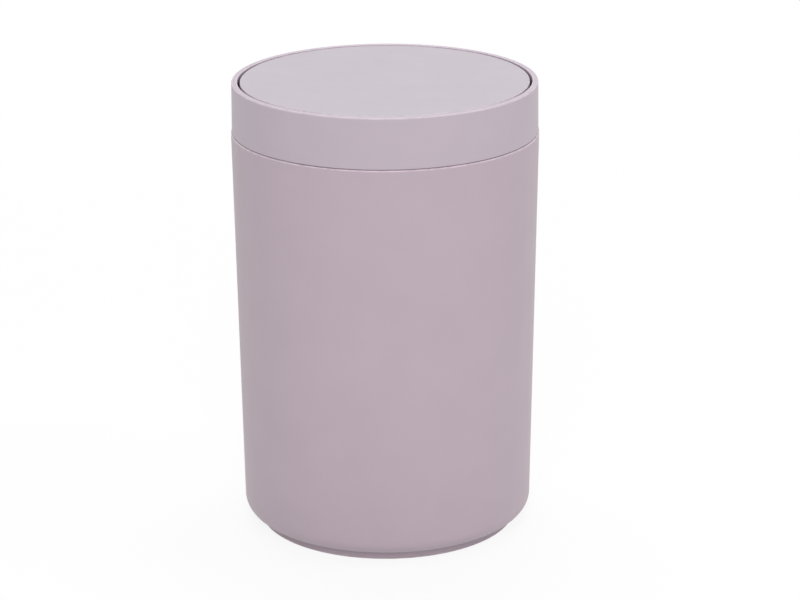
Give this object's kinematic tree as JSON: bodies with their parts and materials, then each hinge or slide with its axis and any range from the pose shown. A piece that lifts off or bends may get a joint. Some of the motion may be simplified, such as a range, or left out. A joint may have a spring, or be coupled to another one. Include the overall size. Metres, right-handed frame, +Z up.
{
  "type": "swing lid countertop bin",
  "caption": "Small round countertop bin with a slightly tapered body, a plug-in collar and a flush, counterweighted round swing flap on two pins.",
  "frame": {"origin": "centre of the foot ring's underside, on the surface that the bin stands on", "axes": "+Z up, -Y towards the front that the picture shows, X along the flap's pivot"},
  "size_m": [0.1412, 0.1412, 0.2118],
  "materials": {
    "body_plastic": "satin",
    "collar_plastic": "satin",
    "flap_plastic": "satin",
    "carrier_plastic": "satin",
    "bush_plastic": "satin",
    "pin_steel": "polished",
    "weight_steel": "satin",
    "screw_steel": "satin"
  },
  "bodies": {
    "bin": {"bin_body": "body_plastic"},
    "lid": {"collar": "collar_plastic", "bearing_bush_left": "bush_plastic", "bearing_bush_right": "bush_plastic"},
    "flap": {"flap_panel": "flap_plastic", "flap_carrier": "carrier_plastic", "pivot_pin_left": "pin_steel", "pivot_pin_right": "pin_steel", "counterweight": "weight_steel", "weight_cover": "carrier_plastic", "carrier_screws": "screw_steel", "cover_screws": "screw_steel"}
  },
  "joints": [
    {"name": "lid_lift", "type": "slide", "parent": "bin", "child": "lid", "axis": [0, 0, 1], "range_m": [0, 0.06]},
    {"name": "flap_swing", "type": "hinge", "parent": "lid", "child": "flap", "pos_m": [0, 0, 0.2037], "axis": [1, 0, 0], "range_deg": [-85, 85]}
  ]
}
